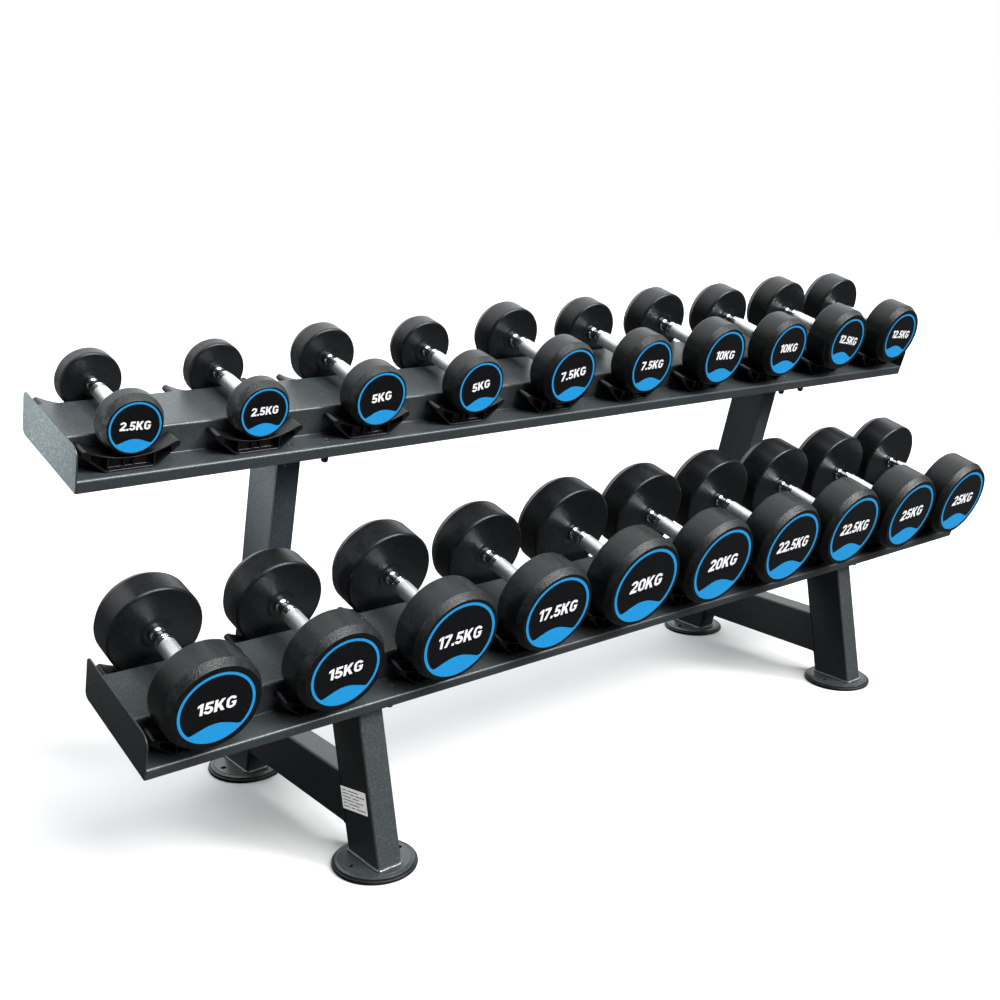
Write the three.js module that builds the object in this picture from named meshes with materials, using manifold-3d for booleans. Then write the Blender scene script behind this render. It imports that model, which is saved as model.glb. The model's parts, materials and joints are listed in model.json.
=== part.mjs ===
// Two-tier dumbbell rack with ten pairs of round-head dumbbells.
// Millimetres, +Z up, +X along the rack to the right, +Y to the rear.
// The origin is on the floor, at the middle of the rack's box.

import * as THREE from 'three';
import { mergeVertices } from 'three/addons/utils/BufferGeometryUtils.js';
import Module from 'manifold-3d';

const wasm = await Module();
wasm.setup();

// ---- Driving dimensions ------------------------------------------------------------------

const rackLength = 2194; // over the outer faces of the end plates
const trayTilt = THREE.MathUtils.degToRad(16); // front edge lower than the rear edge
const clearance = 0.3; // between pieces that touch

const sheet = 3; // folded tray sheet and end plates
const foldRadius = 3.5; // at the middle of the sheet
const riserInset = 52; // from a tray's long edge to the middle of its riser

// Each tray's own frame starts at its lower front edge, x along the rack, y up the slope
// to the rear, z square to the tray.
const trays = {
  upper: {
    frontY: -37.7,
    frontZ: 694.4,
    depth: 222,
    deckHeight: 22,
    raisedHeight: 74,
    plateHeight: 76,
    handleLength: 134,
  },
  lower: {
    frontY: -233.2,
    frontZ: 297.7,
    depth: 224,
    deckHeight: 19,
    raisedHeight: 76,
    plateHeight: 78,
    handleLength: 144,
  },
};
const plateCorners = { frontTop: 20, rearTop: 10, rearBottom: 12, frontBottom: 1.5 };

const frameOffset = 678; // from the middle of the rack to the middle of a side frame
const tube = { width: 50, depth: 97, wall: 2.5, corner: 5 }; // depth is on a level cut
const rearPost = { footY: 254, lean: -0.24 }; // lean is Y per Z
const frontLeg = { footY: -213, lean: 0.205 };
const brace = { bottom: 60, top: 155 };

const footPad = { radius: 76, thickness: 7 };
const footPlate = { radius: 71, thickness: 5, holeRadius: 5.5, holeOffset: 51 };

const bracket = { width: 112, thickness: 6, edge: 8, corner: 8 };
const bolt = { radius: 5, holeRadius: 5.6, headRadius: 9, fromFront: 22 };
const boltSpread = 37; // from the middle of a side frame to each bolt
const boltBottom = -20; // the capped head's lower end, from the tray's front edge

const pitch = 223; // from one dumbbell to the next
const placesPerRow = 10;
const saddle = {
  depth: 35,
  frontEdge: 13.5, // from the tray's front edge to a front cradle
  rearEdge: 4, // from a rear cradle to the tray's rear edge
  seatHeight: 23, // lowest point of the cradle above the deck
  hornHeight: 41.5,
  hornReach: 81,
  baseReach: 41,
  stripHeight: 2,
};

// The weights of the pairs on each tray, left to right, with the radius and thickness of
// a head and the radius of the grip.
const pairs = {
  upper: [
    { weight: '2_5', radius: 52.5, thickness: 37, grip: 13.5 },
    { weight: '5', radius: 58.5, thickness: 48, grip: 13.5 },
    { weight: '7_5', radius: 66, thickness: 58, grip: 15.5 },
    { weight: '10', radius: 71.5, thickness: 63, grip: 15.5 },
    { weight: '12_5', radius: 76, thickness: 66, grip: 15.5 },
  ],
  lower: [
    { weight: '15', radius: 81, thickness: 65, grip: 15.5 },
    { weight: '17_5', radius: 87.5, thickness: 70, grip: 15.5 },
    { weight: '20', radius: 96, thickness: 72, grip: 15.5 },
    { weight: '22_5', radius: 96, thickness: 75, grip: 15.5 },
    { weight: '25', radius: 96, thickness: 78, grip: 15.5 },
  ],
};
const headChamfer = 8;

// ---- Materials ---------------------------------------------------------------------------

const finish = (color, roughness, metalness) =>
  new THREE.MeshStandardMaterial({ color, roughness, metalness });

const materials = {
  powderCoat: () => finish(0x3a3d40, 0.45, 0.5),
  endPlate: () => finish(0x4a4e52, 0.42, 0.5),
  plastic: () => finish(0x101112, 0.5, 0),
  pad: () => finish(0x0b0b0c, 0.8, 0),
  bolt: () => finish(0x16171a, 0.4, 0.6),
  head: () => finish(0x17181a, 0.65, 0),
};

// ---- Geometry helpers --------------------------------------------------------------------

function solid(geometry) {
  const bare = geometry.clone();
  bare.deleteAttribute('normal');
  bare.deleteAttribute('uv');
  const welded = mergeVertices(bare, 1e-4);
  return new wasm.Manifold(new wasm.Mesh({
    numProp: 3,
    vertProperties: new Float32Array(welded.attributes.position.array),
    triVerts: new Uint32Array(welded.index.array),
  }));
}

function surface(manifold) {
  const mesh = manifold.getMesh();
  const geometry = new THREE.BufferGeometry();
  geometry.setAttribute('position', new THREE.BufferAttribute(mesh.vertProperties, 3));
  geometry.setIndex(new THREE.BufferAttribute(mesh.triVerts, 1));
  geometry.computeVertexNormals();
  return geometry;
}

function extrude(shape, length, curveSegments = 4) {
  return new THREE.ExtrudeGeometry(shape, { depth: length, bevelEnabled: false, curveSegments });
}

// An outline drawn in y and z, extruded along +X from x = 0.
function alongX(shape, length, curveSegments) {
  const geometry = extrude(shape, length, curveSegments);
  const turn = new THREE.Matrix4().makeBasis(
    new THREE.Vector3(0, 1, 0),
    new THREE.Vector3(0, 0, 1),
    new THREE.Vector3(1, 0, 0),
  );
  return geometry.applyMatrix4(turn);
}

// An outline drawn in x and z, extruded along +Y from y = 0.
function alongY(shape, length, curveSegments) {
  const geometry = extrude(shape, length, curveSegments);
  return geometry.rotateX(Math.PI / 2).translate(0, length, 0);
}

function roundedRectangle(width, depth, radius) {
  const x = width / 2;
  const y = depth / 2;
  const shape = new THREE.Shape();
  shape.moveTo(-x + radius, -y);
  shape.lineTo(x - radius, -y);
  shape.absarc(x - radius, -y + radius, radius, -Math.PI / 2, 0);
  shape.lineTo(x, y - radius);
  shape.absarc(x - radius, y - radius, radius, 0, Math.PI / 2);
  shape.lineTo(-x + radius, y);
  shape.absarc(-x + radius, y - radius, radius, Math.PI / 2, Math.PI);
  shape.lineTo(-x, -y + radius);
  shape.absarc(-x + radius, -y + radius, radius, Math.PI, Math.PI * 1.5);
  return shape;
}

function tubeOutline(width, depth) {
  const shape = roundedRectangle(width, depth, tube.corner);
  const inside = roundedRectangle(
    width - 2 * tube.wall,
    depth - 2 * tube.wall,
    tube.corner - tube.wall,
  );
  shape.holes.push(inside);
  return shape;
}

// The outline of a folded sheet that follows the points of a path along its middle.
function foldedSheet(path, thickness, radius, steps = 2) {
  const half = thickness / 2;
  const left = [];
  const right = [];
  const addPair = (point, normal) => {
    left.push(point.clone().addScaledVector(normal, half));
    right.push(point.clone().addScaledVector(normal, -half));
  };
  const direction = (a, b) => b.clone().sub(a).normalize();
  const normalOf = (d) => new THREE.Vector2(-d.y, d.x);

  addPair(path[0], normalOf(direction(path[0], path[1])));
  for (let i = 1; i < path.length - 1; i += 1) {
    const before = direction(path[i - 1], path[i]);
    const after = direction(path[i], path[i + 1]);
    const turn = Math.atan2(before.cross(after), before.dot(after));
    const side = Math.sign(turn);
    const tangent = radius * Math.tan(Math.abs(turn) / 2);
    const start = path[i].clone().addScaledVector(before, -tangent);
    const centre = start.clone().addScaledVector(normalOf(before), side * radius);
    for (let k = 0; k <= steps; k += 1) {
      const normal = normalOf(before).rotateAround(new THREE.Vector2(), (turn * k) / steps);
      addPair(centre.clone().addScaledVector(normal, -side * radius), normal);
    }
  }
  const last = path.length - 1;
  addPair(path[last], normalOf(direction(path[last - 1], path[last])));
  return new THREE.Shape([...left, ...right.reverse()]);
}

// A round post along +Z, for holes.
function drill(radius, fromZ, toZ, x, y, segments = 12) {
  const length = toZ - fromZ;
  const geometry = new THREE.CylinderGeometry(radius, radius, length, segments);
  return solid(geometry.rotateX(Math.PI / 2).translate(x, y, (fromZ + toZ) / 2));
}

function mesh(name, geometry, material) {
  const piece = new THREE.Mesh(geometry, material);
  piece.name = name;
  return piece;
}

// ---- Trays and what is fixed to them -----------------------------------------------------

const sides = [['left', -1], ['right', 1]];

function bracketBolts() {
  const places = [];
  for (const [side, sign] of sides) {
    places.push([`${side}_bolt_1`, sign * frameOffset - boltSpread]);
    places.push([`${side}_bolt_2`, sign * frameOffset + boltSpread]);
  }
  return places;
}

function trayGeometry({ depth, deckHeight, raisedHeight }) {
  const deck = deckHeight - sheet / 2;
  const raised = raisedHeight - sheet / 2;
  const lip = sheet / 2;
  const path = [
    [lip, 0],
    [lip, deck],
    [riserInset, deck],
    [riserInset, raised],
    [depth - riserInset, raised],
    [depth - riserInset, deck],
    [depth - lip, deck],
    [depth - lip, 0],
  ].map(([y, z]) => new THREE.Vector2(y, z));
  const length = rackLength - 2 * (sheet + clearance);
  let tray = solid(alongX(foldedSheet(path, sheet, foldRadius), length).translate(-length / 2, 0, 0));
  for (const [, x] of bracketBolts()) {
    tray = tray.subtract(drill(bolt.holeRadius, deck - sheet, deck + sheet, x, bolt.fromFront));
  }
  return surface(tray);
}

function endPlateGeometry({ depth, plateHeight }) {
  const { frontTop, rearTop, rearBottom, frontBottom } = plateCorners;
  const shape = new THREE.Shape();
  shape.moveTo(frontBottom, 0);
  shape.lineTo(depth - rearBottom, 0);
  shape.absarc(depth - rearBottom, rearBottom, rearBottom, -Math.PI / 2, 0);
  shape.lineTo(depth, plateHeight - rearTop);
  shape.absarc(depth - rearTop, plateHeight - rearTop, rearTop, 0, Math.PI / 2);
  shape.lineTo(frontTop, plateHeight);
  shape.absarc(frontTop, plateHeight - frontTop, frontTop, Math.PI / 2, Math.PI);
  shape.lineTo(0, frontBottom);
  shape.absarc(frontBottom, frontBottom, frontBottom, Math.PI, Math.PI * 1.5);
  return alongX(shape, sheet, 5);
}

function bracketTop(tray) {
  return tray.deckHeight - sheet - clearance;
}

function bracketGeometry(tray) {
  const depth = tray.depth - 2 * bracket.edge;
  const top = bracketTop(tray);
  const outline = roundedRectangle(bracket.width, depth, bracket.corner);
  let plate = solid(extrude(outline, bracket.thickness, 3)
    .translate(0, tray.depth / 2, top - bracket.thickness));
  for (const x of [-boltSpread, boltSpread]) {
    plate = plate.subtract(
      drill(bolt.holeRadius, top - bracket.thickness - 1, top + 1, x, bolt.fromFront),
    );
  }
  return surface(plate);
}

// A capped bolt from below the bracket. Its shank ends just under the deck's top face.
function boltGeometry(tray) {
  const shankTop = tray.deckHeight - clearance;
  const headTop = bracketTop(tray) - bracket.thickness - clearance;
  const profile = [
    [0, boltBottom],
    [bolt.headRadius, boltBottom],
    [bolt.headRadius, headTop],
    [bolt.radius, headTop],
    [bolt.radius, shankTop],
    [0, shankTop],
  ].map(([r, z]) => new THREE.Vector2(r, z));
  return new THREE.LatheGeometry(profile, 12).rotateX(Math.PI / 2);
}

function placeX(index) {
  return (index - (placesPerRow - 1) / 2) * pitch;
}

// Neighbouring cradles along one edge of a tray, on one thin strip. The outline runs along
// the underside from left to right, and back over the cradles.
function saddlesGeometry(first, last) {
  const { seatHeight, hornHeight, hornReach, baseReach, stripHeight } = saddle;
  const hornTip = 4;
  const mouth = hornReach - 2 * hornTip;
  const rise = hornHeight - seatHeight;
  const seatRadius = (mouth * mouth + rise * rise) / (2 * rise);
  const seatAngle = Math.asin(mouth / seatRadius);

  const shape = new THREE.Shape();
  shape.moveTo(placeX(first) - baseReach, 0);
  shape.lineTo(placeX(last) + baseReach, 0);
  for (let i = last; i >= first; i -= 1) {
    const x = placeX(i);
    shape.lineTo(x + baseReach, stripHeight);
    shape.lineTo(x + hornReach, hornHeight - hornTip);
    shape.lineTo(x + hornReach - hornTip, hornHeight);
    shape.lineTo(x + mouth, hornHeight);
    shape.absarc(
      x,
      seatHeight + seatRadius,
      seatRadius,
      -Math.PI / 2 + seatAngle,
      -Math.PI / 2 - seatAngle,
      true,
    );
    shape.lineTo(x - hornReach + hornTip, hornHeight);
    shape.lineTo(x - hornReach, hornHeight - hornTip);
    shape.lineTo(x - baseReach, stripHeight);
  }
  return alongY(shape, saddle.depth, 6);
}

function buildTray(name, tray) {
  const group = new THREE.Group();
  group.position.set(0, tray.frontY, tray.frontZ);
  group.rotation.x = trayTilt;
  group.add(mesh(`${name}_tray`, trayGeometry(tray), materials.powderCoat()));

  for (const [side, sign] of sides) {
    const plate = mesh(`${name}_${side}_end_plate`, endPlateGeometry(tray), materials.endPlate());
    plate.position.x = sign < 0 ? -rackLength / 2 : rackLength / 2 - sheet;
    group.add(plate);

    const support = mesh(`${name}_${side}_bracket`, bracketGeometry(tray), materials.powderCoat());
    support.position.x = sign * frameOffset;
    group.add(support);
  }

  for (const [boltName, x] of bracketBolts()) {
    const fastener = mesh(`${name}_${boltName}`, boltGeometry(tray), materials.bolt());
    fastener.position.set(x, bolt.fromFront, 0);
    group.add(fastener);
  }

  const half = placesPerRow / 2;
  const rearY = tray.depth - saddle.rearEdge - saddle.depth;
  const edges = [['front', saddle.frontEdge], ['rear', rearY]];
  for (const [edge, y] of edges) {
    for (const [side, first] of [['left', 0], ['right', half]]) {
      const geometry = saddlesGeometry(first, first + half - 1);
      const saddles = mesh(`${name}_${edge}_${side}_saddles`, geometry, materials.plastic());
      saddles.position.set(0, y, tray.deckHeight + clearance);
      group.add(saddles);
    }
  }
  return group;
}

// ---- Dumbbells ---------------------------------------------------------------------------

// Both heads and the handle, turned about the y axis.
function dumbbellGeometry({ radius, thickness, grip }, handleLength) {
  const inner = handleLength / 2;
  const outer = inner + thickness;
  const half = [
    [grip, inner],
    [radius, inner],
    [radius, outer - headChamfer],
    [radius - headChamfer, outer],
    [0, outer],
  ];
  const other = half.map(([r, y]) => [r, -y]).reverse();
  const profile = [...other, ...half].map(([r, y]) => new THREE.Vector2(r, y));
  return new THREE.LatheGeometry(profile, 16);
}

function buildDumbbells(tray, rowPairs) {
  const group = new THREE.Group();
  group.position.set(0, tray.frontY, tray.frontZ);
  group.rotation.x = trayTilt;
  const seat = tray.deckHeight + saddle.seatHeight + 2 * clearance;
  rowPairs.forEach((pair, index) => {
    ['a', 'b'].forEach((copy, step) => {
      const geometry = dumbbellGeometry(pair, tray.handleLength);
      const dumbbell = mesh(`dumbbell_${pair.weight}kg_${copy}`, geometry, materials.head());
      dumbbell.position.set(placeX(2 * index + step), tray.depth / 2, seat + pair.radius);
      group.add(dumbbell);
    });
  });
  return group;
}

// ---- Side frames -------------------------------------------------------------------------

const footTop = footPad.thickness + footPlate.thickness + clearance;

// A prism that stands on the foot plate and leans in Y, cut level at both ends.
function leaningPrism(outline, member, height) {
  const base = footTop + clearance;
  const lean = new THREE.Matrix4().makeShear(0, 0, 0, 0, 0, member.lean);
  return extrude(outline, height, 3).applyMatrix4(lean).translate(0, member.footY, base);
}

// The space above the underside of a tray's bracket, where an upright stops.
function aboveBracket(tray) {
  const size = 600;
  const underside = bracketTop(tray) - bracket.thickness - clearance;
  const block = new THREE.BoxGeometry(size, size, size)
    .translate(0, tray.depth / 2, underside + size / 2)
    .rotateX(trayTilt)
    .translate(0, tray.frontY, tray.frontZ);
  return solid(block);
}

function uprightGeometry(member, tray) {
  const tall = tray.frontZ + 200;
  const prism = leaningPrism(tubeOutline(tube.width, tube.depth), member, tall);
  return surface(solid(prism).subtract(aboveBracket(tray)));
}

// The brace is cut at both ends to the slope of the upright that it meets.
function braceGeometry() {
  const height = brace.top - brace.bottom;
  const margin = 20; // how far the uncut brace reaches into each upright
  const start = frontLeg.footY + margin;
  const length = rearPost.footY - margin - start;
  const whole = alongY(tubeOutline(tube.width, height), length, 3)
    .translate(0, start, brace.bottom + height / 2);
  const room = roundedRectangle(tube.width + 10, tube.depth + 2 * clearance, 1);
  const leg = solid(leaningPrism(room, frontLeg, 2 * brace.top));
  const post = solid(leaningPrism(room, rearPost, 2 * brace.top));
  return surface(solid(whole).subtract(leg).subtract(post));
}

function discWithHoles(radius, thickness, fromZ) {
  const segments = 24;
  let disc = solid(new THREE.CylinderGeometry(radius, radius, thickness, segments)
    .rotateX(Math.PI / 2)
    .translate(0, 0, fromZ + thickness / 2));
  for (const x of [-footPlate.holeOffset, footPlate.holeOffset]) {
    const hole = drill(footPlate.holeRadius, fromZ - 1, fromZ + thickness + 1, x, 0, 8);
    disc = disc.subtract(hole);
  }
  return surface(disc);
}

function buildSideFrame(side, sign) {
  const group = new THREE.Group();
  group.position.x = sign * frameOffset;
  const coat = materials.powderCoat;
  group.add(mesh(`${side}_rear_post`, uprightGeometry(rearPost, trays.upper), coat()));
  group.add(mesh(`${side}_front_leg`, uprightGeometry(frontLeg, trays.lower), coat()));
  group.add(mesh(`${side}_brace`, braceGeometry(), coat()));

  for (const [place, member] of [['front', frontLeg], ['rear', rearPost]]) {
    const pad = discWithHoles(footPad.radius, footPad.thickness, 0);
    const plate = discWithHoles(
      footPlate.radius,
      footPlate.thickness,
      footPad.thickness + clearance,
    );
    const foot = new THREE.Group();
    foot.position.y = member.footY;
    foot.add(mesh(`${side}_${place}_foot_pad`, pad, materials.pad()));
    foot.add(mesh(`${side}_${place}_foot_plate`, plate, coat()));
    group.add(foot);
  }
  return group;
}

// ---- The rack ----------------------------------------------------------------------------

const rack = new THREE.Group();
for (const [side, sign] of sides) {
  rack.add(buildSideFrame(side, sign));
}
for (const [name, tray] of Object.entries(trays)) {
  rack.add(buildTray(name, tray));
}
for (const [name, rowPairs] of Object.entries(pairs)) {
  rack.add(buildDumbbells(trays[name], rowPairs));
}

export default rack;
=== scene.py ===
"""Two-tier dumbbell rack with ten pairs of round-head dumbbells: the detailed surface.

Metres, +Z up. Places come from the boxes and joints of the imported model. A tray's own frame
starts at its lower front edge: x along the rack, y up the slope, z square to the tray.
"""

import json
import math

import bmesh
import bpy
from mathutils import Matrix, Vector
from mathutils.geometry import tessellate_polygon


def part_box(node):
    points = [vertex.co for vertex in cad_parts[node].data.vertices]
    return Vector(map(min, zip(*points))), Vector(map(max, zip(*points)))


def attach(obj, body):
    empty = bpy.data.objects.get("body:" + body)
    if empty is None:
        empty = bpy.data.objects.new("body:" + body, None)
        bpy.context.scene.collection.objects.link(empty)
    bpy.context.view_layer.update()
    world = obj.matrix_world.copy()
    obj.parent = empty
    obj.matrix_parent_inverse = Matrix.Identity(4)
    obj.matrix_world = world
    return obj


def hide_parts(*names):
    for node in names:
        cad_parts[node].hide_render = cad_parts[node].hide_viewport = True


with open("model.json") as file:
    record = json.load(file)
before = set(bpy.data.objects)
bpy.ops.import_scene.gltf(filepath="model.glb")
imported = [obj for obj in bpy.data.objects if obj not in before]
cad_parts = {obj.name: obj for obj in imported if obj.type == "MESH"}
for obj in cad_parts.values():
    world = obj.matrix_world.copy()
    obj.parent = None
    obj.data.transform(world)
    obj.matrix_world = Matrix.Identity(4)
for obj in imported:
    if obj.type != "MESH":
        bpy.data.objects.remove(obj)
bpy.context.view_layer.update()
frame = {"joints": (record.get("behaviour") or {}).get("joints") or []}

# ---- Sizes ----

SHEET = 0.003  # folded tray sheet
FOLD_OUTSIDE = 0.005
FOLD_INSIDE = 0.002
RISER_INSET = 0.052  # from a tray's long edge to the middle of its riser
CLEARANCE = 0.0003  # between pieces that touch
CUT_EDGE = 0.0008  # rounding left by the powder coat on a cut edge

TRAYS = {
    "upper": {"depth": 0.222, "deck": 0.022, "raised": 0.074, "plate": 0.076, "handle": 0.134},
    "lower": {"depth": 0.224, "deck": 0.019, "raised": 0.076, "plate": 0.078, "handle": 0.144},
}
PLATE_CORNERS = {"front_top": 0.020, "rear_top": 0.010, "rear_bottom": 0.012, "front_bottom": 0.0015}

TUBE_WIDTH = 0.050
TUBE_DEPTH = 0.097  # on a level cut
TUBE_WALL = 0.0025
TUBE_CORNER = 0.005
REAR_POST_LEAN = -0.24  # y per z
FRONT_LEG_LEAN = 0.205
BRACE_BOTTOM = 0.060
BRACE_TOP = 0.155

BRACKET_WIDTH = 0.112
BRACKET_THICKNESS = 0.006
BRACKET_EDGE = 0.008  # from the tray's long edge to the bracket
BRACKET_CORNER = 0.008
BOLT_SPREAD = 0.037  # from the middle of a side frame to a bolt
BOLT_FROM_EDGE = 0.022  # from the tray's long edge to a bolt
BOLT_HOLE = 0.0056  # radius
BOLT_SHANK = 0.005  # radius
BOLT_BOTTOM = -0.020  # the end of a bolt's cap, in the tray's frame

WELD_RADIUS = 0.0032
WELD_RIPPLE = 0.0042  # from one pool of a weld to the next

SADDLE_DEPTH = 0.035
SADDLE_FRONT = 0.0135  # from the tray's front edge to a front cradle
SADDLE_REAR = 0.004  # from a rear cradle to the tray's rear edge
SADDLE_BASE = 0.041  # half of a cradle's foot
SEAT_HEIGHT = 0.023
HORN_RADIUS = 0.0060
HORN_X = 0.075
HORN_Z = 0.0357
FLANGE = 0.003  # walls of a cradle
DRAFT = 0.0003  # how much a cradle's pocket narrows
LIP = 0.0004  # round the mouth of a hole or a pocket

HEAD_CHAMFER = 0.008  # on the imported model's heads
CHAMFER_EXTRA = 0.006  # how much longer a chamfer is along the handle than across
DISC_SEAT = 0.0012  # depth of the recess that holds the printed disc
DISC_SINK = 0.0004  # the disc's face below the rim
PRINT_SINK = 0.0001  # of the print into the disc's face
PRINT_RISE = 0.00022

# Each pair: weight, outer radius of the printed ring, width of the lettering in ring radii,
# chamfer of the rubber, radius of the grip, and how far the two dumbbells have rolled in their
# cradles, in degrees.
PAIRS = {
    "upper": [
        ("2.5", 0.0425, 1.17, 0.0070, 0.0135, (-2.9, 0.8)),
        ("5", 0.0490, 0.83, 0.0065, 0.0135, (6.6, 10.7)),
        ("7.5", 0.0547, 1.17, 0.0078, 0.0155, (8.9, 1.0)),
        ("10", 0.0587, 1.04, 0.0078, 0.0155, (-2.2, 0.0)),
        ("12.5", 0.0580, 1.27, 0.0080, 0.0155, (-10.3, -4.4)),
    ],
    "lower": [
        ("15", 0.0630, 1.00, 0.0080, 0.0155, (0.5, 4.0)),
        ("17.5", 0.0734, 1.244, 0.0080, 0.0155, (2.4, 2.5)),
        ("20", 0.0805, 1.04, 0.0080, 0.0155, (3.4, 1.4)),
        ("22.5", 0.0800, 1.27, 0.0080, 0.0155, (0.7, -0.8)),
        ("25", 0.0790, 1.07, 0.0080, 0.0155, (3.2, 0.0)),
    ],
}
TEXT_HEIGHT = 0.34  # in ring radii
TEXT_RISE = 0.07  # from the middle of the disc, in ring radii

# ---- Outlines ----


def arc(centre, radius, start, end, steps):
    """Points of an arc from one angle to another, in degrees, with both ends."""
    angles = [math.radians(start + (end - start) * k / steps) for k in range(steps + 1)]
    return [Vector((centre[0] + radius * math.cos(a), centre[1] + radius * math.sin(a))) for a in angles]


def rounded(corners, steps=6):
    """A closed outline whose corners, each (x, y, radius), are rounded."""
    points = []
    for i, (x, y, radius) in enumerate(corners):
        here = Vector((x, y))
        if radius <= 0:
            points.append(here)
            continue
        before = (Vector(corners[i - 1][:2]) - here).normalized()
        after = (Vector(corners[(i + 1) % len(corners)][:2]) - here).normalized()
        half = before.angle(after) / 2
        centre = here + (before + after).normalized() * (radius / math.sin(half))
        start = here + before * (radius / math.tan(half)) - centre
        end = here + after * (radius / math.tan(half)) - centre
        sweep = start.angle(end)
        for k in range(steps + 1):
            a, b = math.sin(sweep * (1 - k / steps)), math.sin(sweep * k / steps)
            points.append(centre + (start * a + end * b) / math.sin(sweep))
    return points


def rounded_box(width, depth, radius, steps=6):
    x, y = width / 2, depth / 2
    return rounded([(-x, -y, radius), (x, -y, radius), (x, y, radius), (-x, y, radius)], steps)


def inset(outline, distance):
    """An anticlockwise outline moved inwards by a distance."""
    moved = []
    for i, here in enumerate(outline):
        before = (here - outline[i - 1]).normalized()
        after = (outline[(i + 1) % len(outline)] - here).normalized()
        left = Vector((-before.y, before.x))
        middle = (left + Vector((-after.y, after.x))).normalized()
        moved.append(here + middle * (distance / middle.dot(left)))
    return moved


def mirrored(outline):
    """The outline reflected in x, still anticlockwise."""
    return [Vector((-p.x, p.y)) for p in reversed(outline)]


def even(points, step):
    """Points spaced evenly along a closed path."""
    count = len(points)
    lengths = [(points[(i + 1) % count] - points[i]).length for i in range(count)]
    number = round(sum(lengths) / step)
    spaced, i, gone = [], 0, 0.0
    for k in range(number):
        target = sum(lengths) * k / number
        while gone + lengths[i] < target:
            gone += lengths[i]
            i += 1
        spaced.append(points[i].lerp(points[(i + 1) % count], (target - gone) / lengths[i]))
    return spaced


# ---- Meshes ----


class Shape:
    """The points and faces of one mesh. Each face has the number of its material."""

    def __init__(self):
        self.points = []
        self.faces = []
        self.finishes = []

    def loop(self, points):
        first = len(self.points)
        self.points += [tuple(p) for p in points]
        return list(range(first, len(self.points)))

    def face(self, corners, finish=0):
        self.faces.append(corners)
        self.finishes.append(finish)

    def skin(self, a, b, finish=0):
        """Faces between two closed loops. Either may be a single point."""
        count = max(len(a), len(b))
        for i in range(count):
            j = (i + 1) % count
            if len(a) == 1:
                self.face([a[0], b[j], b[i]], finish)
            elif len(b) == 1:
                self.face([a[i], a[j], b[0]], finish)
            else:
                self.face([a[i], a[j], b[j], b[i]], finish)

    def fill(self, loops, finish=0):
        """A flat region. The first loop is its outline and the others are holes in it."""
        flat = [i for loop in loops for i in loop]
        outlines = [[Vector(self.points[i]) for i in loop] for loop in loops]
        for triangle in tessellate_polygon(outlines):
            self.face([flat[k] for k in triangle], finish)

    def turn(self, profile, place, segments, finishes=None):
        """Turns a profile of (radius, height) about an axis, from one axis point to another."""
        rings = []
        for radius, height in profile:
            around = segments if radius > 0 else 1
            angles = [2 * math.pi * k / segments for k in range(around)]
            ring = [place(radius * math.cos(a), radius * math.sin(a), height) for a in angles]
            rings.append(self.loop(ring))
        for k, (a, b) in enumerate(zip(rings, rings[1:])):
            self.skin(a, b, finishes[k] if finishes else 0)

    def mesh(self, name, materials, sharp=32):
        data = bpy.data.meshes.new(name)
        data.from_pydata(self.points, [], self.faces)
        data.polygons.foreach_set("material_index", self.finishes)
        for material in materials:
            data.materials.append(material)
        edit = bmesh.new()
        edit.from_mesh(data)
        bmesh.ops.remove_doubles(edit, verts=edit.verts, dist=1e-6)
        bmesh.ops.recalc_face_normals(edit, faces=edit.faces)
        edit.to_mesh(data)
        edit.free()
        data.shade_smooth()
        data.set_sharp_from_angle(angle=math.radians(sharp))
        return data


def straight(x, y, z):
    return Vector((x, y, z))


def lifted(place, outline, height):
    return [place(p[0], p[1], height) for p in outline]


def slab(shape, place, outline, low, high, edge, low_mouths=(), high_mouths=()):
    """A plate with rounded edges. Mouths are loops where holes or pockets open on a face."""
    steps = 3
    rings = []
    for k in range(2 * steps + 2):
        turn = math.radians(-90 + 90 * min(k, steps) / steps)
        if k > steps:
            turn = math.radians(90 * (k - steps - 1) / steps)
        level = low + edge if k <= steps else high - edge
        depth = edge * (1 - math.cos(turn))
        rings.append(shape.loop(lifted(place, inset(outline, depth), level + edge * math.sin(turn))))
    for a, b in zip(rings, rings[1:]):
        shape.skin(a, b)
    shape.fill([rings[0], *low_mouths])
    shape.fill([rings[-1], *high_mouths])


def drilled(shape, place, x, y, radius, low, high):
    """The wall of a round hole with a soft lip. Returns its lower and upper mouths."""
    rings = []
    for extra, level in ((LIP, low), (0, low + LIP), (0, high - LIP), (LIP, high)):
        circle = arc((x, y), radius + extra, 0, 360, 24)[:-1]
        rings.append(shape.loop(lifted(place, circle, level)))
    for a, b in zip(rings, rings[1:]):
        shape.skin(a, b)
    return rings[0], rings[-1]


def pocket(shape, place, outline, top, depth, inner=()):
    """A pocket sunk from the level top, with more pockets in its floor. Returns its mouth."""
    mouth = shape.loop(lifted(place, inset(outline, -LIP), top))
    rim = shape.loop(lifted(place, outline, top - LIP))
    floor = shape.loop(lifted(place, inset(outline, DRAFT), top - depth))
    shape.skin(mouth, rim)
    shape.skin(rim, floor)
    shape.fill([floor, *[pocket(shape, place, each, top - depth, more) for each, more in inner]])
    return mouth


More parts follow.
